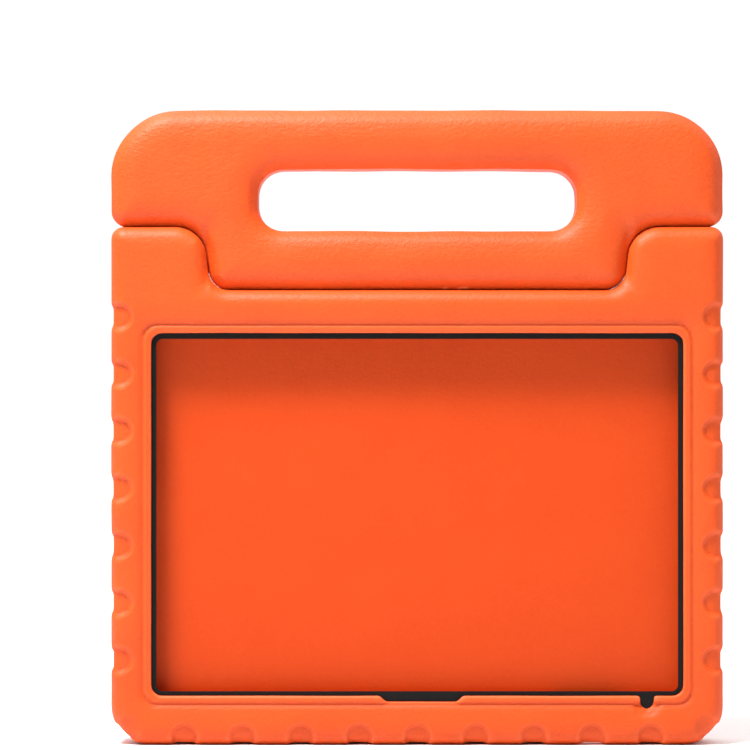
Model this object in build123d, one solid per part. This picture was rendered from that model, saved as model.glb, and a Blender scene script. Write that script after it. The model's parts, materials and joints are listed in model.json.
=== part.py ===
from build123d import *
import os

# Shock-absorbing foam case for a 200 x 135 x 7.5 mm tablet, with a carrying handle that swings
# back on two pins and becomes a stand.
# Row frame, in millimetres: x across, -y is the open front, z up. The origin is under the middle
# of the case, on the surface it stands on.

# Driving sizes
width = 222.0
height = 230.0
case_front = -12.0
case_back = 12.0
handle_front = -11.0
handle_back = 11.5
parting_gap = 0.4            # space between the handle and the case
foam_round = 4.0             # rounding of the case's outer edges
handle_round = 5.0           # rounding of the handle's edges
slot_round = 4.5

# Where the handle nests between the shoulders
shoulder_top = 187.7
recess_floor = 164.8
recess_half_top = 77.6
recess_half_bottom = 75.2
shoulder_arc = 11.5
recess_arc = 7.5

# Hinge
pivot_y = case_back - 6.0
pivot_z = 176.5
knuckle_radius = 11.3
tongue_end = 76.0            # half length of the handle's tongue at the pin
barrel_end = 76.6            # where the shoulder's barrel starts

# Tablet cavity and the window in front of it
cavity_width = 201.0
cavity_height = 135.5
cavity_corner = 7.0
window_width = 192.6
window_height = 131.2
window_corner = 3.8
window_z = 83.5              # middle of the window and the cavity
lip_back = -8.6
gasket_back = -7.4
panel_front = 0.4
panel_back = 7.0
terrace_width = 3.2          # the lower step around the window
terrace_depth = 1.1

# Grip dents round the edge
dent_depth = 0.8
dent_half = 4.2
dent_reach = 7.3
side_dent_first = 30.9
side_dent_pitch = 20.7
side_dent_count = 7
base_dent_pitch = 21.1
base_dent_count = 9
base_corner = 14.0


def prism(face, y0, y1):
    """A face drawn with its y as height, extruded from y0 to y1."""
    return Pos(0, y1, 0) * Rot(90, 0, 0) * extrude(face, y1 - y0)


def along_x(radius, x0, x1):
    """A cylinder on the hinge axis from x0 to x1."""
    middle = Pos((x0 + x1) / 2, pivot_y, pivot_z)
    return middle * Rot(0, 90, 0) * Cylinder(radius, x1 - x0)


def outline(points, radii):
    """A polygon with one corner radius for each point."""
    face = make_face(Polyline(*points, close=True))
    for (x, z), radius in zip(points, radii):
        if radius:
            corner = min(face.vertices(), key=lambda v: (v.X - x) ** 2 + (v.Y - z) ** 2)
            face = fillet(corner, radius)
    return face


def rounded_window(w, h, r, z=window_z):
    return Pos(0, z) * RectangleRounded(w, h, r)


def front_back_edges(solid, y0, y1):
    """The edges that lie in the planes y0 and y1."""
    edges = solid.edges()
    return edges.filter_by_position(Axis.Y, y0 - 0.01, y0 + 0.01) + edges.filter_by_position(
        Axis.Y, y1 - 0.01, y1 + 0.01
    )


# ---------------------------------------------------------------- case


def case_block(inset):
    """The case without its cavity, inset evenly on every side."""
    half = width / 2 - inset
    top = shoulder_top - inset
    floor = recess_floor - inset
    half_top = recess_half_top + inset
    half_bottom = recess_half_bottom + inset
    corner = base_corner - inset
    right = [
        (half, inset, corner),
        (half, top, foam_round + 0.3 - inset),
        (half_top, top, shoulder_arc - inset),
        (half_bottom, floor, recess_arc + inset),
    ]
    left = [(-x, z, r) for x, z, r in reversed(right)]
    face = outline([(x, z) for x, z, r in right + left], [r for x, z, r in right + left])
    y0 = case_front + inset
    y1 = case_back - inset
    block = prism(face, y0, y1)
    return fillet(front_back_edges(block, y0, y1), foam_round - inset)


def dent_shape():
    """Outline of one dent, open at the origin and reaching along +x."""
    straight = dent_reach - dent_half
    body = Pos(straight / 2 - 2, 0) * Rectangle(straight + 4, 2 * dent_half)
    return body + Pos(straight, 0) * Circle(dent_half)


def dent_prisms():
    """All dent outlines, run through the whole thickness."""
    shape = dent_shape()
    half = width / 2
    faces = []
    for i in range(side_dent_count):
        z = side_dent_first + side_dent_pitch * i
        faces.append(Pos(-half, z) * shape)
        faces.append(Pos(half, z) * Rot(0, 0, 180) * shape)
    first = -(base_dent_count - 1) / 2
    for i in range(base_dent_count):
        faces.append(Pos((first + i) * base_dent_pitch, 0) * Rot(0, 0, 90) * shape)
    inward = base_corner * (1 - 0.5**0.5)
    faces.append(Pos(-half + inward, inward) * Rot(0, 0, 45) * shape)
    faces.append(Pos(half - inward, inward) * Rot(0, 0, 135) * shape)
    return [prism(f, case_front - 1, case_back + 1) for f in faces]


# Notches in the window's lower edge
sensor_notch_x = 1.5
sensor_notch_width = 31.0
sensor_notch_depth = 2.3
round_notch_x = 83.2
round_notch_radius = 2.4
round_notch_depth = 4.9
window_bottom = window_z - window_height / 2


def window_face():
    """The window with a shallow notch in the middle and a round one near the corner."""
    face = rounded_window(window_width, window_height, window_corner)
    slope = 2.6
    half = sensor_notch_width / 2
    low = window_bottom - sensor_notch_depth
    shallow = [
        (sensor_notch_x - half, window_bottom + 0.5),
        (sensor_notch_x - half + slope, low),
        (sensor_notch_x + half - slope, low),
        (sensor_notch_x + half, window_bottom + 0.5),
    ]
    face += make_face(Polyline(*shallow, close=True))
    centre = window_bottom - round_notch_depth + round_notch_radius
    face += Pos(round_notch_x, centre) * Circle(round_notch_radius)
    throat = window_bottom - centre + 1
    face += Pos(round_notch_x, centre + throat / 2) * Rectangle(2 * round_notch_radius, throat)
    return face


def terrace_face():
    grow = 2 * terrace_width
    face = rounded_window(window_width + grow, window_height + grow, window_corner + 2)
    centre = window_bottom - round_notch_depth + round_notch_radius
    return face + Pos(round_notch_x, centre) * Circle(round_notch_radius + terrace_width - 0.3)


def gasket_face(clearance=0.0):
    """The gasket's outer outline: the cavity's, with a tab behind the round notch."""
    grow = 2 * clearance
    face = rounded_window(cavity_width + grow, cavity_height + grow, cavity_corner + clearance)
    tab = Pos(round_notch_x, window_bottom) * RectangleRounded(13 + grow, 15 + grow, 3)
    return face + tab


# Openings through the walls, for the tablet's socket and buttons
wall_mid_y = (gasket_back + panel_front) / 2


def wall_slot(x, z, long_way, size_x, size_y, size_z):
    """A rounded slot through a wall, its corners rounded about the axis it runs along."""
    block = Pos(x, wall_mid_y, z) * Box(size_x, size_y, size_z)
    return fillet(block.edges().filter_by(long_way), size_y / 2 - 0.6)


def wall_openings():
    side_x = (width + cavity_width) / 4 + 1
    charging = wall_slot(-side_x, window_z, Axis.X, 16, 7, 15)
    headphone = wall_slot(side_x, window_z + 52, Axis.X, 16, 7.4, 8.6)
    power = wall_slot(side_x, window_z - 41.5, Axis.X, 16, 6, 13)
    volume = wall_slot(63.3, 7.4, Axis.Z, 25, 6, 22)
    return [charging, headphone, power, volume]


# Hinge hardware on the case
pin_radius = 2.5
bushing_radius = 4.0
bushing_bore = 2.55
bushing_start = 76.8
head_start = 103.6
bushing_end = 107.0
head_room = 3.7
plug_radius = 4.6
washer_radius = 5.2


def make_frame_shell():
    block = case_block(0)
    for dent in dent_prisms():
        block -= dent
    block += case_block(dent_depth)
    cylinder = along_x(knuckle_radius + parting_gap, -barrel_end, barrel_end)
    block -= cylinder
    # The back of each shoulder is rounded about the pin, and a barrel fills the inner end.
    for side in (-1, 1):
        x0, x1 = sorted((side * barrel_end, side * (width / 2 + 1)))
        back_top = Pos((x0 + x1) / 2, pivot_y + 10, pivot_z + 10) * Box(x1 - x0, 20, 20)
        block -= back_top - along_x(shoulder_top - pivot_z, x0, x1)
        b0, b1 = sorted((side * barrel_end, side * 95))
        behind = Pos(0, case_back + 10, pivot_z) * Box(2 * width, 20, 40)
        block += along_x(shoulder_top - pivot_z, b0, b1) - behind
        block -= along_x(washer_radius + 0.2, *sorted((side * 70, side * bushing_start)))
        block -= along_x(bushing_radius, *sorted((side * 70, side * bushing_end)))
        block -= along_x(plug_radius, *sorted((side * bushing_end, side * (width / 2 + 1))))
    terrace = prism(terrace_face(), case_front - 1, case_front + terrace_depth)
    block -= terrace
    block -= prism(window_face(), case_front - 1, gasket_back)
    block -= prism(gasket_face(), lip_back, gasket_back)
    cavity = rounded_window(cavity_width, cavity_height, cavity_corner)
    block -= prism(cavity, gasket_back, case_back + 1)
    rebate = rounded_window(cavity_width + 8, cavity_height + 8, cavity_corner + 4)
    block -= prism(rebate, panel_back - 3, panel_back)
    rear_opening = rounded_window(cavity_width + 2, cavity_height + 2, cavity_corner + 1)
    block -= prism(rear_opening, panel_back, case_back + 1)
    for opening in wall_openings():
        block -= opening
    return block


def make_back_panel():
    """The back wall: a plug that closes the cavity, with a flange held in the frame's groove."""
    inner = rounded_window(cavity_width, cavity_height, cavity_corner)
    flange = rounded_window(cavity_width + 8, cavity_height + 8, cavity_corner + 4)
    panel = prism(inner, panel_front, panel_back - 3) + prism(flange, panel_back - 3, panel_back)
    raised = rounded_window(cavity_width - 12, cavity_height - 12, cavity_corner)
    pad = prism(raised, panel_back, panel_back + 1.5)
    return panel + fillet(front_back_edges(pad, panel_back + 1.5, panel_back + 1.5), 1.2)


def make_screen_gasket():
    """Black rim behind the lip, standing a little proud of the window all round."""
    side, above, below = 1.7, 2.0, 1.4
    inner_w = window_width - 2 * side
    inner_h = window_height - above - below
    inner_z = window_z + (below - above) / 2
    inner = rounded_window(inner_w, inner_h, 2.4, inner_z)
    return prism(gasket_face() - inner, lip_back, gasket_back)


def make_bushing(side):
    bush = along_x(bushing_radius, *sorted((side * bushing_start, side * bushing_end)))
    bush -= along_x(bushing_bore, *sorted((side * 70, side * 120)))
    return bush - along_x(head_room, *sorted((side * head_start, side * 120)))


def make_washer(side):
    """Friction washer between the hub and the bushing. It holds the handle where it is put."""
    ring = along_x(washer_radius, *sorted((side * hub_end, side * bushing_start)))
    return ring - along_x(bushing_bore, *sorted((side * 70, side * 80)))


def make_plug(side):
    """Cap that closes the hole the pin goes in by, with a coin slot across it."""
    cap = along_x(plug_radius, *sorted((side * bushing_end, side * (width / 2 - 0.6))))
    edge = cap.edges().sort_by(Axis.X)[-1 if side > 0 else 0]
    cap = fillet(edge, 0.8)
    slot = Pos(side * (width / 2 - 0.6), pivot_y, pivot_z) * Box(1.6, 1.2, 5.6)
    return cap - slot


# ---------------------------------------------------------------- handle

slot_half_length = 58.0
slot_low = 186.1
slot_high = 208.8
slot_corner = 9.5
core_front = -1.5
core_back = 1.5
hub_start = 54.0
pin_start = 58.0
hub_end = 75.8
hub_back = 10.0
hub_half_height = 6.5
screw_offsets = ((58.5, 5.2), (71.5, -4.8))


def grip_slot(grow=0.0):
    size_x = 2 * (slot_half_length + grow)
    size_z = slot_high - slot_low + 2 * grow
    return Pos(0, (slot_low + slot_high) / 2) * RectangleRounded(size_x, size_z, slot_corner + grow)


def handle_face():
    wing = shoulder_top + parting_gap
    floor = recess_floor + parting_gap
    half = width / 2
    right = [
        (recess_half_bottom - parting_gap, floor, recess_arc - parting_gap),
        (recess_half_top - parting_gap, wing, shoulder_arc + parting_gap),
        (half, wing, handle_round + 0.3),
        (half, height, 24),
    ]
    left = [(-x, z, r) for x, z, r in reversed(right)]
    return outline([(x, z) for x, z, r in right + left], [r for x, z, r in right + left])


def make_handle_foam():
    """The soft handle. Its tongue is rounded about the pin, so it can turn in the recess."""
    foam = prism(handle_face(), handle_front, handle_back)
    foam = fillet(front_back_edges(foam, handle_front, handle_back), handle_round)
    slot = prism(grip_slot(), handle_front - 1, handle_back + 1)
    foam -= slot
    rims = [
        e
        for e in front_back_edges(foam, handle_front, handle_back)
        if abs(e.center().X) <= slot_half_length and slot_low - 1 < e.center().Z < slot_high + 1
    ]
    foam = fillet(rims, slot_round)
    # Room for the shoulders' barrels
    for side in (-1, 1):
        x0, x1 = sorted((side * tongue_end, side * 120))
        foam -= along_x(knuckle_radius + 2 * parting_gap, x0, x1)
    # The tongue's lower back edge is round about the pin.
    corner = Pos(0, pivot_y + 10, pivot_z - 10) * Box(2 * tongue_end + 10, 20, 20)
    foam -= corner - along_x(knuckle_radius, -tongue_end - 5, tongue_end + 5)
    return foam


def make_handle_core():
    """Stiff plate inside the handle, with a hole round the grip slot."""
    inset = 9.0
    wing = shoulder_top + inset
    half = width / 2 - inset
    right = [
        (hub_end - 1.8, recess_floor + 5.2, 3),
        (hub_end - 1.8, wing, 4),
        (half, wing, 5),
        (half, height - inset, 15),
    ]
    left = [(-x, z, r) for x, z, r in reversed(right)]
    face = outline([(x, z) for x, z, r in right + left], [r for x, z, r in right + left])
    face -= grip_slot(grow=5.5)
    return prism(face, core_front, core_back)


def make_hub(side):
    """Block behind the core that carries the pin."""
    middle = side * (hub_start + hub_end) / 2
    y = (core_back + hub_back) / 2
    block = Pos(middle, y, pivot_z) * Box(hub_end - hub_start, hub_back - core_back, 2 * hub_half_height)
    block = fillet(block.edges().filter_by(Axis.X).group_by(Axis.Y)[-1], 3)
    return block - along_x(pin_radius, *sorted((side * pin_start, side * (hub_end + 1))))


def make_pin(side):
    shank = along_x(pin_radius, *sorted((side * pin_start, side * (head_start + 0.4))))
    head = along_x(3.4, *sorted((side * (head_start + 0.4), side * (head_start + 2.4))))
    return shank + head


def make_screws():
    """Four screws that hold the hubs to the core, their heads on the core's front."""
    screws = []
    for side in (-1, 1):
        for x, up in screw_offsets:
            z = pivot_z + up
            y = core_front
            shank = Pos(side * x, y + 3.6, z) * Rot(90, 0, 0) * Cylinder(1.1, 7.2)
            head = Pos(side * x, y - 1, z) * Rot(90, 0, 0) * Cylinder(2.4, 2)
            screws.append(shank + head)
    return screws


def main():
    os.makedirs("parts", exist_ok=True)
    parts = {
        "frame_shell": make_frame_shell(),
        "back_panel": make_back_panel(),
        "screen_gasket": make_screen_gasket(),
    }
    core = make_handle_core()
    screws = make_screws()
    foam = make_handle_foam() - core
    for screw in screws:
        core -= screw
        foam -= screw
    for name, side in (("left", -1), ("right", 1)):
        hub = make_hub(side)
        for screw in screws:
            hub -= screw
        solid_hub = hub + make_pin(side)
        for screw in screws:
            solid_hub += screw
        foam -= solid_hub
        foam -= along_x(pin_radius + 0.6, *sorted((side * 70, side * 78)))
        foam -= along_x(washer_radius + 0.2, *sorted((side * hub_end, side * 78)))
        parts["hinge_hub_" + name] = hub
        parts["hinge_pin_" + name] = make_pin(side)
        parts["hinge_bushing_" + name] = make_bushing(side)
        parts["friction_washer_" + name] = make_washer(side)
        parts["hinge_plug_" + name] = make_plug(side)
    parts["handle_foam"] = foam
    parts["handle_core"] = core
    parts["hub_screws"] = Compound(children=screws)
    for name, shape in parts.items():
        export_step(shape, f"parts/{name}.step")


main()
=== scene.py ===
import json
import math

import bmesh
import bpy
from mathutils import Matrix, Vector
from mathutils.bvhtree import BVHTree
from mathutils.kdtree import KDTree
from mathutils.noise import noise


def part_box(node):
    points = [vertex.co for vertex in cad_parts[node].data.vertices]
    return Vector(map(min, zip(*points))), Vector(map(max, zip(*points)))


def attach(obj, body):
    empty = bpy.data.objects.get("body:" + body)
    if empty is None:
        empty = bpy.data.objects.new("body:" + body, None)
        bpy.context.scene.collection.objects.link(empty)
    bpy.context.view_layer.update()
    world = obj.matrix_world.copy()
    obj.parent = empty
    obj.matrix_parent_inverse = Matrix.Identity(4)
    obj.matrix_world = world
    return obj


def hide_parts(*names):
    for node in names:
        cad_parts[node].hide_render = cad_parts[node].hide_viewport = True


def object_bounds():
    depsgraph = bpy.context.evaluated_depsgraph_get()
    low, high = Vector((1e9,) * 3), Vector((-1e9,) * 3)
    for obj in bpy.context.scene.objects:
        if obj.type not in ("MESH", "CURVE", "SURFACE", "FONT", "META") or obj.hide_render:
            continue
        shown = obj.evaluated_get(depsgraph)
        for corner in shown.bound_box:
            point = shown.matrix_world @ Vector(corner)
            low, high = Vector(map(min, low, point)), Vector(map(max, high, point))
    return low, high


# A foam tablet case with a carrying handle. The frame holds the sizes and the hinge; this script
# gives the moulded foam its soft skin and every part its finish.

mm = 0.001
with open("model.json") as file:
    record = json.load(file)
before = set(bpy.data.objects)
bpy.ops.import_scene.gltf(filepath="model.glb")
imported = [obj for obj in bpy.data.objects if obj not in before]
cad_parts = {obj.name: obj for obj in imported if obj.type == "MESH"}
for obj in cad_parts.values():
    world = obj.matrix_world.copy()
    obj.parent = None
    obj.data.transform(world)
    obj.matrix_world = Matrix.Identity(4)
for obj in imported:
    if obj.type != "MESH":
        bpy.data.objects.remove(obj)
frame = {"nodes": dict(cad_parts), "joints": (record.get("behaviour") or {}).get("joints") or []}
nodes = frame["nodes"]
cadLow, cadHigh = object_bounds()
frameLow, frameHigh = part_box("frame_shell")
pivot = Vector(frame["joints"][0]["pos_m"])       # on the axis that the handle swings about
print("frame loaded:", len(nodes), "nodes")


def linear(hexValue):
    # sRGB hex to the linear colour that shaders take
    def channel(value):
        return value / 12.92 if value <= 0.04045 else ((value + 0.055) / 1.055) ** 2.4
    parts = [int(hexValue[i:i + 2], 16) / 255 for i in (1, 3, 5)]
    return [channel(p) for p in parts] + [1.0]


def perGrain(sizeMm):
    # a texture's scale for grains of this real size
    return 1 / (sizeMm * mm)


def addNode(tree, kind, sockets=None, **settings):
    # one node with its settings; sockets gives an input its value, or the output that feeds it
    node = tree.nodes.new(kind)
    for key, value in settings.items():
        setattr(node, key, value)
    for key, value in (sockets or {}).items():
        if isinstance(value, bpy.types.NodeSocket):
            tree.links.new(value, node.inputs[key])
        else:
            node.inputs[key].default_value = value
    return node


def newMaterial(name, shader):
    material = bpy.data.materials.new(name)
    material.use_nodes = True
    tree = material.node_tree
    tree.nodes.clear()
    surface = addNode(tree, "ShaderNodeBsdfPrincipled", shader)
    addNode(tree, "ShaderNodeOutputMaterial", {"Surface": surface.outputs["BSDF"]})
    place = addNode(tree, "ShaderNodeTexCoord")
    return material, tree, surface, place.outputs["Object"]


# In a colour Mix node, input 0 is the factor, 6 and 7 are the two colours, and output 2 the result.

foam = {
    "outer": ("#C23604", "#D8500F", "#F07844"),   # mottle's darker tone, skin, painted highlight on edges
    "panelShaded": ("#BC3303", "#C8430A", "#D45820"),   # a darker copy of the same foam: painted shade for the back panel, which lies in the cavity
    "paintedShade": "#8E2402",        # painted shade, darkest in creases and hollows
    "paintedShadeShare": 0.9,         # how dark the painted shade gets in the deepest hollows
    "paintedHighlightFrom": (0.515, 0.62),                  # how far an edge stands out, from no painted highlight to all
    "paintedShadeFrom": (0.49, 0.4),                      # how far a hollow lies in, from no painted shade to all
    "mottleMm": 26,           # uneven dye and pressing
    "speckMm": 0.91,          # fine grains of dye
    "grainMm": 0.7,           # pebble grain of the mould's skin
    "creaseMm": 1.2,          # shallow wrinkles
    "creaseStretch": (1.7, 1.2, 1.0),             # drawn out a little along x and y
    "shineMm": 26 / 3,        # patches that are more and less matt
    "roughness": (0.46, 0.6),
    "sheen": 0.05,            # of the gloss
}


def evaFoam(name, look):
    # Closed-cell EVA foam pressed in a hot mould: a thin matt skin, faintly waxy, with pebble
    # grain and shallow wrinkles where the skin cooled; paler along its edges by painted highlight and
    # darker in its hollows by painted shade.
    deep, skin, paintedHighlight = [linear(tone) for tone in foam[look["tones"]]]
    material, tree, surface, place = newMaterial(name, {
        "IOR": 1.49, "Specular IOR Level": look["gloss"],
        "Sheen Weight": look["gloss"] * foam["sheen"], "Sheen Roughness": 0.4})

    mottle = addNode(tree, "ShaderNodeTexNoise", {
        "Vector": place, "Scale": perGrain(foam["mottleMm"]), "Detail": 2, "Roughness": 0.55})
    dyed = addNode(tree, "ShaderNodeMix", {0: mottle.outputs["Fac"], 6: deep, 7: skin},
                   data_type="RGBA")
    speck = addNode(tree, "ShaderNodeTexNoise", {
        "Vector": place, "Scale": perGrain(foam["speckMm"]), "Detail": 2, "Roughness": 0.55})
    grained = addNode(tree, "ShaderNodeMix", {0: speck.outputs["Fac"], 6: dyed.outputs[2], 7: skin},
                      data_type="RGBA")

    shape = addNode(tree, "ShaderNodeNewGeometry")
    # painted shade: hollows and creases are darkened towards the shade colour by pointiness
    paintedShadeMask = addNode(tree, "ShaderNodeMapRange", {
        "Value": shape.outputs["Pointiness"], "To Max": foam["paintedShadeShare"],
        "From Min": foam["paintedShadeFrom"][0], "From Max": foam["paintedShadeFrom"][1]})
    paintedShaded = addNode(tree, "ShaderNodeMix", {
        0: paintedShadeMask.outputs["Result"], 6: grained.outputs[2], 7: linear(foam["paintedShade"])}, data_type="RGBA")
    # painted highlight: standing edges are paled towards the highlight colour by pointiness
    paintedHighlightMask = addNode(tree, "ShaderNodeMapRange", {
        "Value": shape.outputs["Pointiness"],
        "From Min": foam["paintedHighlightFrom"][0], "From Max": foam["paintedHighlightFrom"][1]})
    paintedHighlighted = addNode(tree, "ShaderNodeMix", {0: paintedHighlightMask.outputs["Result"], 6: paintedShaded.outputs[2], 7: paintedHighlight},
                   data_type="RGBA")
    tree.links.new(paintedHighlighted.outputs[2], surface.inputs["Base Color"])

    pebble = addNode(tree, "ShaderNodeTexVoronoi", {"Vector": place, "Scale": perGrain(foam["grainMm"])},
                     feature="SMOOTH_F1")
    grainBump = addNode(tree, "ShaderNodeBump", {
        "Height": pebble.outputs["Distance"], "Distance": look["grainDepthMm"] * mm}, invert=True)
    drawn = addNode(tree, "ShaderNodeMapping", {
        "Vector": place, "Scale": [1 / stretch for stretch in foam["creaseStretch"]]})
    crease = addNode(tree, "ShaderNodeTexNoise", {
        "Vector": drawn.outputs["Vector"], "Scale": perGrain(foam["creaseMm"]),
        "Detail": 4, "Roughness": 0.6})
    creaseBump = addNode(tree, "ShaderNodeBump", {
        "Height": crease.outputs["Fac"], "Normal": grainBump.outputs["Normal"],
        "Distance": look["creaseDepthMm"] * mm})
    tree.links.new(creaseBump.outputs["Normal"], surface.inputs["Normal"])

    shine = addNode(tree, "ShaderNodeTexNoise", {
        "Vector": place, "Scale": perGrain(foam["shineMm"]), "Detail": 3, "Roughness": 0.55})
    spread = addNode(tree, "ShaderNodeMapRange", {
        "Value": shine.outputs["Fac"],
        "To Min": foam["roughness"][0], "To Max": foam["roughness"][1]})
    tree.links.new(spread.outputs["Result"], surface.inputs["Roughness"])
    return material


def grainedFinish(name, shader, finish):
    # two tones that drift into each other, under a grain of its own size
    material, tree, surface, place = newMaterial(name, shader)
    drawn = addNode(tree, "ShaderNodeMapping", {
        "Vector": place, "Scale": [1 / stretch for stretch in finish.get("stretch", (1, 1, 1))]})
    tone = addNode(tree, "ShaderNodeTexNoise", {
        "Vector": drawn.outputs["Vector"], "Scale": perGrain(finish["toneMm"]),
        "Detail": finish["toneDetail"], "Roughness": 0.55})
    low, high = [linear(colour) for colour in finish["tones"]]
    tinted = addNode(tree, "ShaderNodeMix", {0: tone.outputs["Fac"], 6: low, 7: high},
                     data_type="RGBA")
    tree.links.new(tinted.outputs[2], surface.inputs["Base Color"])
    grain = addNode(tree, "ShaderNodeTexNoise", {
        "Vector": drawn.outputs["Vector"], "Scale": perGrain(finish["grainMm"]),
        "Detail": finish["grainDetail"], "Roughness": 0.55})
    bump = addNode(tree, "ShaderNodeBump", {
        "Height": grain.outputs["Fac"], "Strength": 1.0, "Distance": finish["grainDepthMm"] * mm})
    tree.links.new(bump.outputs["Normal"], surface.inputs["Normal"])
    return material


rubber = {
    "tones": ("#040404", "#0B0A0A"),
    "toneMm": 7,
    "toneDetail": 3,
    "grainMm": 0.6,           # coarser than the real grain, so that it shows
    "grainDetail": 3,
    "grainDepthMm": 0.03,
}


def blackRubber():
    # Solid nitrile rubber, compression moulded: deep black, satin, with a very fine matt grain.
    return grainedFinish("nitrileRubberMoulded",
                         {"Roughness": 0.62, "IOR": 1.52, "Specular IOR Level": 0.2}, rubber)


def mouldedPlastic(name, tones, roughness, ior=1.53):
    # Plastic out of a spark-eroded mould: even colour, fine pitted texture, with pits drawn
    # coarser than real ones so that they show.
    plastic = {"tones": tones, "toneMm": 9, "toneDetail": 2,
               "grainMm": 0.5, "grainDetail": 3, "grainDepthMm": 0.05}
    return grainedFinish(name, {"Roughness": roughness, "IOR": ior}, plastic)


zinc = {
    "tones": ("#9DA0A3", "#C9CBCD"),
    "stretch": (1, 12, 12),   # rings round the pin's axis
    "toneMm": 0.4,            # wider than real turning marks, so that they show
    "toneDetail": 2,
    "grainMm": 0.4,
    "grainDetail": 2,
    "grainDepthMm": 0.02,
}


def zincSteel():
    # Mild steel, turned and zinc plated: bright grey with fine rings round the pin.
    return grainedFinish("zincPlatedSteelTurned", {"Metallic": 1.0, "Roughness": 0.32}, zinc)


def newPiece(name, bm, material):
    mesh = bpy.data.meshes.new(name)
    bm.to_mesh(mesh)
    bm.free()
    piece = bpy.data.objects.new(name, mesh)
    bpy.context.scene.collection.objects.link(piece)
    piece.data.materials.append(material)
    return piece


def freeze(piece):
    # modifiers into the mesh, so that the moulded surface can be shaped further
    graph = bpy.context.evaluated_depsgraph_get()
    made = bpy.data.meshes.new_from_object(piece.evaluated_get(graph))
    piece.modifiers.clear()
    old = piece.data
    piece.data = made
    bpy.data.meshes.remove(old)


def shadeSmooth(piece):
    piece.data.polygons.foreach_set("use_smooth", [True] * len(piece.data.polygons))


weld = 0.004 * mm             # corners of the loose triangles nearer than this are one


def softSkin(name, node, material, skin, clean=None):
    # the node's closed shape again as an even mesh, its hard edges rounded as foam's are
    bm = bmesh.new()
    bm.from_mesh(nodes[node].data)
    bmesh.ops.remove_doubles(bm, verts=bm.verts, dist=weld)
    if clean:
        clean(bm)
    piece = newPiece(name, bm, material)
    even = piece.modifiers.new("evenMesh", "REMESH")
    even.mode = "VOXEL"
    even.voxel_size = skin["voxelMm"] * mm
    soften = piece.modifiers.new("soften", "SMOOTH")
    soften.factor = 0.5
    soften.iterations = skin["passes"]
    freeze(piece)
    outward = [vertex.normal.copy() for vertex in piece.data.vertices]
    for vertex, normal in zip(piece.data.vertices, outward):
        vertex.co += normal * skin["swellMm"] * mm
    shadeSmooth(piece)
    print(name, len(piece.data.polygons), "faces")
    return piece


def smoothStep(value):
    value = min(1.0, max(0.0, value))
    return value * value * (3 - 2 * value)


def ruffle(piece, skin):
    # slow unevenness that no moulded foam is without
    seed = skin["ruffleSeed"]
    outward = [vertex.normal.copy() for vertex in piece.data.vertices]
    for vertex, normal in zip(piece.data.vertices, outward):
        spot = vertex.co / (skin["ruffleMm"] * mm) + Vector((seed, seed, seed))
        vertex.co += normal * noise(spot) * skin["ruffleDepthMm"] * mm


cushion = {
    "rimBand": 1.2 * mm,      # the outline is read this near to mid-thickness
    "rimTilt": 0.3,           # where the skin faces sideways
    "fadeFrom": 1 * mm,       # behind the front, the swelling fades out
    "fade": 5 * mm,
}


def puff(piece, skin, outer=lambda x, z: True):
    # the front swells out from its edges like a cushion: it lies back near the outline
    c = cushion
    front = min(vertex.co.y for vertex in piece.data.vertices)
    rim = [v.co.copy() for v in piece.data.vertices
           if abs(v.co.y) < c["rimBand"] and abs(v.normal.y) < c["rimTilt"] and outer(v.co.x, v.co.z)]
    tree = KDTree(len(rim))
    for index, co in enumerate(rim):
        tree.insert((co.x, 0, co.z), index)
    tree.balance()
    for vertex in piece.data.vertices:
        x, y, z = vertex.co
        if y < front + c["fadeFrom"] + c["fade"]:
            inside = tree.find((x, 0, z))[2] / (skin["puffMm"] * mm)
            share = 1 - smoothStep((y - front - c["fadeFrom"]) / c["fade"])
            vertex.co.y += skin["puffDepthMm"] * mm * max(0, 1 - inside) ** 2 * share


def settle(piece, node, body):
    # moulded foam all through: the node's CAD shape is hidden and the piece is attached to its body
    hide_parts(node)
    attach(piece, body)


caseFrame = {
    "tones": "outer",
    "gloss": 0.34,
    "creaseDepthMm": 0.2,
    "grainDepthMm": 0.06,
    "voxelMm": 0.87,          # fineness of the even mesh, and rounds of softening
    "passes": 2,
    "swellMm": 0.0,
    "puffMm": 8.5,            # how far in from the outline the front lies back
    "puffDepthMm": 1.5,
    "ruffleMm": 30,           # how far apart the uneven places are
    "ruffleDepthMm": 0.12,
    "ruffleSeed": 3,
    "cavityHalf": 104 * mm,   # inside these, an edge belongs to the cavity and not to the outline
    "cavityLow": 8 * mm,
    "cavityHigh": 155 * mm,
}

relief = {
    "halfWidth": 96.3 * mm,   # window, step and dents as in the CAD; the frame holds no sizes for them
    "halfHeight": 65.6 * mm,
    "middle": 83.5 * mm,
    "corner": 5.8 * mm,
    "terrace": 3.2 * mm,      # width of the lower step round the window
    "fallWidth": 9.5 * mm,    # how far the face slopes down towards the step
    "fallDepth": 1.25 * mm,
    "fallCurve": 1.6,
    "stepLift": 0.75,         # of that depth, given back on the step itself
    "stepWidth": 1 * mm,
    "groove": 0.45 * mm,      # the pressed line where step and face meet
    "grooveWidth": 0.7 * mm,
    "dentHalf": 4.2 * mm,     # grip dents round the edge
    "dentReach": 7.3 * mm,
    "dentExtra": 0.5 * mm,    # pressed this much deeper, over a wall this wide
    "dentWall": 0.7 * mm,
    "dentWallStart": 0.3,     # share of the wall that lies outside the outline
    "dentLine": 0.45 * mm,    # a line pressed just inside a dent's outline
    "dentLineInset": 0.3 * mm,
    "dentLineWidth": 0.6 * mm,
    "sideDents": [30.9 * mm + 20.7 * mm * i for i in range(7)],
    "baseDents": [21.1 * mm * i for i in range(-4, 5)],
    "fadeFrom": 1.56 * mm,    # behind the front, the shaping fades out
    "fade": 2.6 * mm,
}


def outsideCavity(x, z):
    c = caseFrame
    return abs(x) > c["cavityHalf"] or z < c["cavityLow"] or z > c["cavityHigh"]


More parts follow.
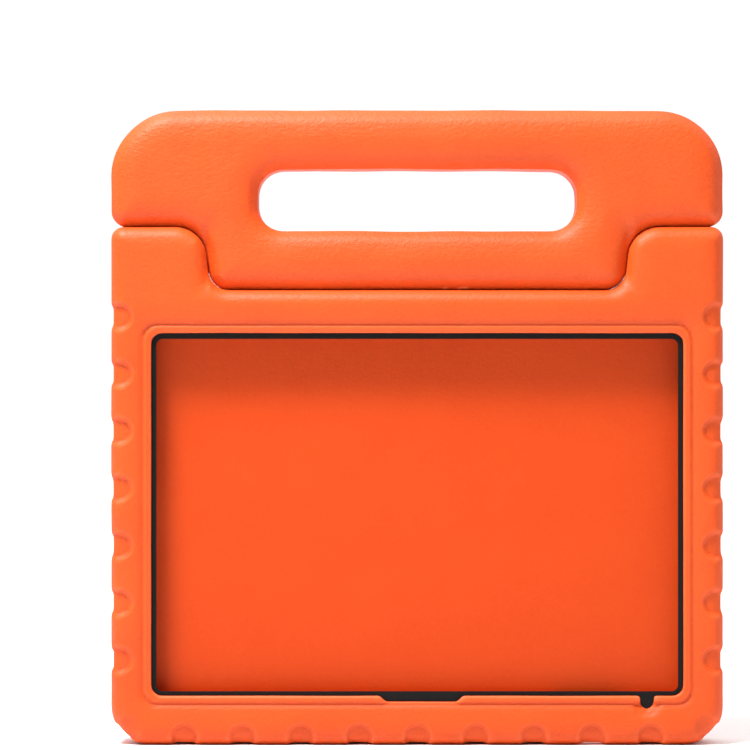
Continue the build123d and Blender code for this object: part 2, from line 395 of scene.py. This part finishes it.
def outsideWindow(x, z):
    # distance outside the step's outer edge, negative inside it
    r = relief
    dx = abs(x) - (r["halfWidth"] + r["terrace"] - r["corner"])
    dz = abs(z - r["middle"]) - (r["halfHeight"] + r["terrace"] - r["corner"])
    outside = math.hypot(max(dx, 0), max(dz, 0))
    return outside + min(max(dx, dz), 0) - r["corner"]


def outsideDent(along, inward):
    # distance outside one dent's outline; inward is measured from the case's edge
    r = relief
    straight = r["dentReach"] - r["dentHalf"]
    return math.hypot(along, max(0, inward - straight)) - r["dentHalf"]


def nearestDent(x, z):
    r = relief
    side = min(outsideDent(z - place, frameHigh.x - abs(x)) for place in r["sideDents"])
    base = min(outsideDent(x - place, z) for place in r["baseDents"])
    return min(side, base)


def shapeCaseFace(piece):
    # the front falls gently to the step, a shallow line marks where they meet, and the dents'
    # outlines are pressed in
    r = relief
    front = frameLow.y
    for vertex in piece.data.vertices:
        x, y, z = vertex.co
        if y > front + r["fadeFrom"] + r["fade"]:
            continue
        share = 1 - smoothStep((y - front - r["fadeFrom"]) / r["fade"])
        away = outsideWindow(x, z)
        press = r["groove"] * math.exp(-(away / r["grooveWidth"]) ** 2)
        slope = (1 - min(1, max(0, away) / r["fallWidth"])) ** r["fallCurve"]
        press += r["fallDepth"] * slope * (1 - r["stepLift"] * smoothStep(-away / r["stepWidth"]))
        dent = nearestDent(x, z)
        press += r["dentExtra"] * smoothStep(-dent / r["dentWall"] + r["dentWallStart"])
        press += r["dentLine"] * math.exp(-((dent + r["dentLineInset"]) / r["dentLineWidth"]) ** 2)
        vertex.co.y += press * share


caseFoam = evaFoam("evaFoamCaseMoulded", caseFrame)
caseSkin = softSkin("case_frame", "frame_shell", caseFoam, caseFrame)
puff(caseSkin, caseFrame, outsideCavity)
shapeCaseFace(caseSkin)
ruffle(caseSkin, caseFrame)
settle(caseSkin, "frame_shell", "case")

carryHandle = {
    "tones": "outer",
    "gloss": 0.36,
    "creaseDepthMm": 0.28,
    "grainDepthMm": 0.07,
    "voxelMm": 0.9,
    "passes": 4,
    "swellMm": 0.1,
    "puffMm": 12,
    "puffDepthMm": 2.5,
    "ruffleMm": 19,
    "ruffleDepthMm": 0.3,
    "ruffleSeed": 8,
    "gapMm": 0.15,            # least distance to the case
    "gapReachMm": 0.8,        # skin nearer than this is drawn in towards gapMm
    "gapEase": 0.6,           # past this share of the reach, it is drawn in less and less
    "gapTilt": 0.3,           # only where the case's wall faces sideways or up
    "gapHalfDepth": 6 * mm,   # and this near to mid-thickness
}

pockets = {                   # where the handle's hollows for core, hubs, pins and screws lie
    "slack": 0.02 * mm,
    "boreX": (54 * mm, 76.5 * mm),
    "boreRadius": 5.8 * mm,
    "screwX": (55 * mm, 76 * mm),
    "screwFront": -3.6 * mm,
    "screwRadius": 13 * mm,   # from the pin's axis
}


def dropPockets(bm):
    # the handle's outer skin alone: the pockets for core, hubs, screws and pins are left out
    p = pockets
    slack = p["slack"]
    boxes = [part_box(node) for node in ("hinge_hub_left", "hinge_hub_right", "handle_core")]
    gone = []
    for v in bm.verts:
        inBox = any(all(low[i] - slack <= v.co[i] <= high[i] + slack for i in range(3))
                    for low, high in boxes)
        radius = math.hypot(v.co.y - pivot.y, v.co.z - pivot.z)
        x = abs(v.co.x)
        inBore = p["boreX"][0] < x < p["boreX"][1] and radius < p["boreRadius"]
        byScrew = p["screwX"][0] < x < p["screwX"][1] and radius < p["screwRadius"]
        if inBox or inBore or (byScrew and p["screwFront"] < v.co.y < 0):
            gone.append(v)
    bmesh.ops.delete(bm, geom=gone, context="VERTS")
    rim = [e for e in bm.edges if e.is_boundary]
    bmesh.ops.holes_fill(bm, edges=rim, sides=0)
    bmesh.ops.triangulate(bm, faces=[f for f in bm.faces if len(f.verts) > 4])


def keepClear(piece, other, skin):
    # the two foams lie almost against each other, and never in each other
    graph = bpy.context.evaluated_depsgraph_get()
    wall = BVHTree.FromObject(other, graph)
    gap, reach, ease = skin["gapMm"], skin["gapReachMm"], skin["gapEase"]
    for vertex in piece.data.vertices:
        spot, normal, _, _ = wall.find_nearest(vertex.co, reach * mm)
        if spot is None:
            continue
        away = (vertex.co - spot).dot(normal) / mm
        kept = gap + (reach - gap) * smoothStep((away - ease * reach) / ((1 - ease) * reach))
        sideways = abs(normal.y) < skin["gapTilt"]
        tooNear = away < gap or (away < kept and sideways)
        tooFar = away > kept and sideways and abs(spot.y) < skin["gapHalfDepth"]
        if tooNear or tooFar:
            vertex.co = spot + normal * kept * mm


handleFoam = evaFoam("evaFoamHandleMoulded", carryHandle)
handleSkin = softSkin("carry_handle", "handle_foam", handleFoam, carryHandle, clean=dropPockets)
puff(handleSkin, carryHandle)
ruffle(handleSkin, carryHandle)
keepClear(handleSkin, caseSkin, carryHandle)
settle(handleSkin, "handle_foam", "handle")

rearPanel = {
    # the panel's darker tones are painted shade
    "tones": "panelShaded",
    "gloss": 0.2,
    "creaseDepthMm": 0.08,
    "grainDepthMm": 0.04,
    "voxelMm": 1.3,
    "passes": 6,
    "swellMm": 0.0,
    "ruffleMm": 45,
    "ruffleDepthMm": 0.2,
    "ruffleSeed": 5,
}

panelFoam = evaFoam("evaFoamPanelMoulded", rearPanel)
panelSkin = softSkin("rear_panel", "back_panel", panelFoam, rearPanel)
ruffle(panelSkin, rearPanel)
settle(panelSkin, "back_panel", "case")

finishes = {                  # the nodes that keep their CAD shape, by the start of their names
    ("screen_gasket", "friction_washer"): blackRubber(),
    ("hinge_bushing",): mouldedPlastic("acetalMoulded", ("#D9D6CC", "#E9E7E0"), 0.38, ior=1.48),
    ("hinge_plug",): mouldedPlastic("absPlugMoulded", ("#DA4A10", "#E35A1C"), 0.5),
    ("handle_core",): mouldedPlastic("absCoreMoulded", ("#232326", "#303034"), 0.45),
    ("hinge_hub",): mouldedPlastic("glassFilledNylonMoulded", ("#1D1D1F", "#2B2B2E"), 0.5),
    ("hinge_pin", "hub_screws"): zincSteel(),
}
for nodeName, piece in nodes.items():
    for starts, material in finishes.items():
        if nodeName.startswith(starts):
            piece.data.materials.clear()
            piece.data.materials.append(material)
print("finishes given")

studio = {
    "floor": ("#E6E6E6", "#EFEFEF"),
    "floorHalf": 9,           # half its side, in metres
    "floorToneMm": 400,
    "above": 1.6,             # light of the room from overhead, from behind and from the front
    "behind": 1.02,
    "before": 0.1,
    "aboveFrom": (0.5, 0.95),                     # where the sky goes over to the overhead light
    "behindFrom": (-0.6, 0.6),                    # and from the front's light to the back's
    "lens": 150,
    "sensor": 36,
    "viewWidth": 0.271,       # width of the picture at the case's front
    "centre": (-0.0153, 0.134),
    "lights": (               # name, place, what it faces, width and height, watts
        ("overhead", (-0.3, -0.32, 0.9), (0, 0, 0.12), (0.24, 0.2), 16),
        ("front", (-0.5, -1.3, 0.5), (0, 0, 0.12), (0.4, 0.4), 0.7),
        ("far", (0, 6, 1.8), (0, 6, 0), (9, 9), 260),
    ),
}


def makeFloor():
    bm = bmesh.new()
    bmesh.ops.create_grid(bm, x_segments=1, y_segments=1, size=studio["floorHalf"])
    # Matt emulsion paint on board: pale, and too rough to mirror the case.
    material, tree, surface, place = newMaterial("matteEmulsionPaint", {"Roughness": 0.85})
    tone = addNode(tree, "ShaderNodeTexNoise", {
        "Vector": place, "Scale": perGrain(studio["floorToneMm"]), "Detail": 2, "Roughness": 0.55})
    low, high = [linear(colour) for colour in studio["floor"]]
    paint = addNode(tree, "ShaderNodeMix", {0: tone.outputs["Fac"], 6: low, 7: high},
                    data_type="RGBA")
    tree.links.new(paint.outputs[2], surface.inputs["Base Color"])
    newPiece("floor", bm, material)


def makeWorld():
    world = bpy.data.worlds.new("studio")
    world.use_nodes = True
    tree = world.node_tree
    place = addNode(tree, "ShaderNodeTexCoord")
    split = addNode(tree, "ShaderNodeSeparateXYZ", {"Vector": place.outputs["Generated"]})
    depth = addNode(tree, "ShaderNodeMapRange", {
        "Value": split.outputs["Y"],
        "From Min": studio["behindFrom"][0], "From Max": studio["behindFrom"][1],
        "To Min": studio["before"], "To Max": studio["behind"]})
    lift = addNode(tree, "ShaderNodeMapRange", {
        "Value": split.outputs["Z"],
        "From Min": studio["aboveFrom"][0], "From Max": studio["aboveFrom"][1]})
    blend = addNode(tree, "ShaderNodeMix", {
        "Factor": lift.outputs["Result"], "A": depth.outputs["Result"], "B": studio["above"]},
        data_type="FLOAT")
    background = tree.nodes["Background"]
    background.inputs["Color"].default_value = linear("#FFFFFF")
    tree.links.new(blend.outputs["Result"], background.inputs["Strength"])
    bpy.context.scene.world = world


def areaLight(name, place, target, size, watts):
    data = bpy.data.lights.new(name, "AREA")
    data.shape = "RECTANGLE"
    data.size, data.size_y = size
    data.energy = watts
    light = bpy.data.objects.new(name, data)
    light.location = place
    light.rotation_euler = (Vector(target) - Vector(place)).to_track_quat("-Z", "Y").to_euler()
    bpy.context.scene.collection.objects.link(light)


def makeCamera():
    data = bpy.data.cameras.new("camera")
    data.lens = studio["lens"]
    data.sensor_width = studio["sensor"]
    data.clip_start = 0.01
    x, z = studio["centre"]
    away = studio["viewWidth"] * data.lens / data.sensor_width
    eye = bpy.data.objects.new("camera", data)
    eye.location = (x, cadLow.y - away, z)
    eye.rotation_euler = (math.pi / 2, 0, 0)
    bpy.context.scene.collection.objects.link(eye)
    bpy.context.scene.camera = eye


makeFloor()
makeWorld()
for light in studio["lights"]:
    areaLight(*light)
makeCamera()
bpy.context.scene.view_settings.view_transform = "Standard"
print("studio ready")
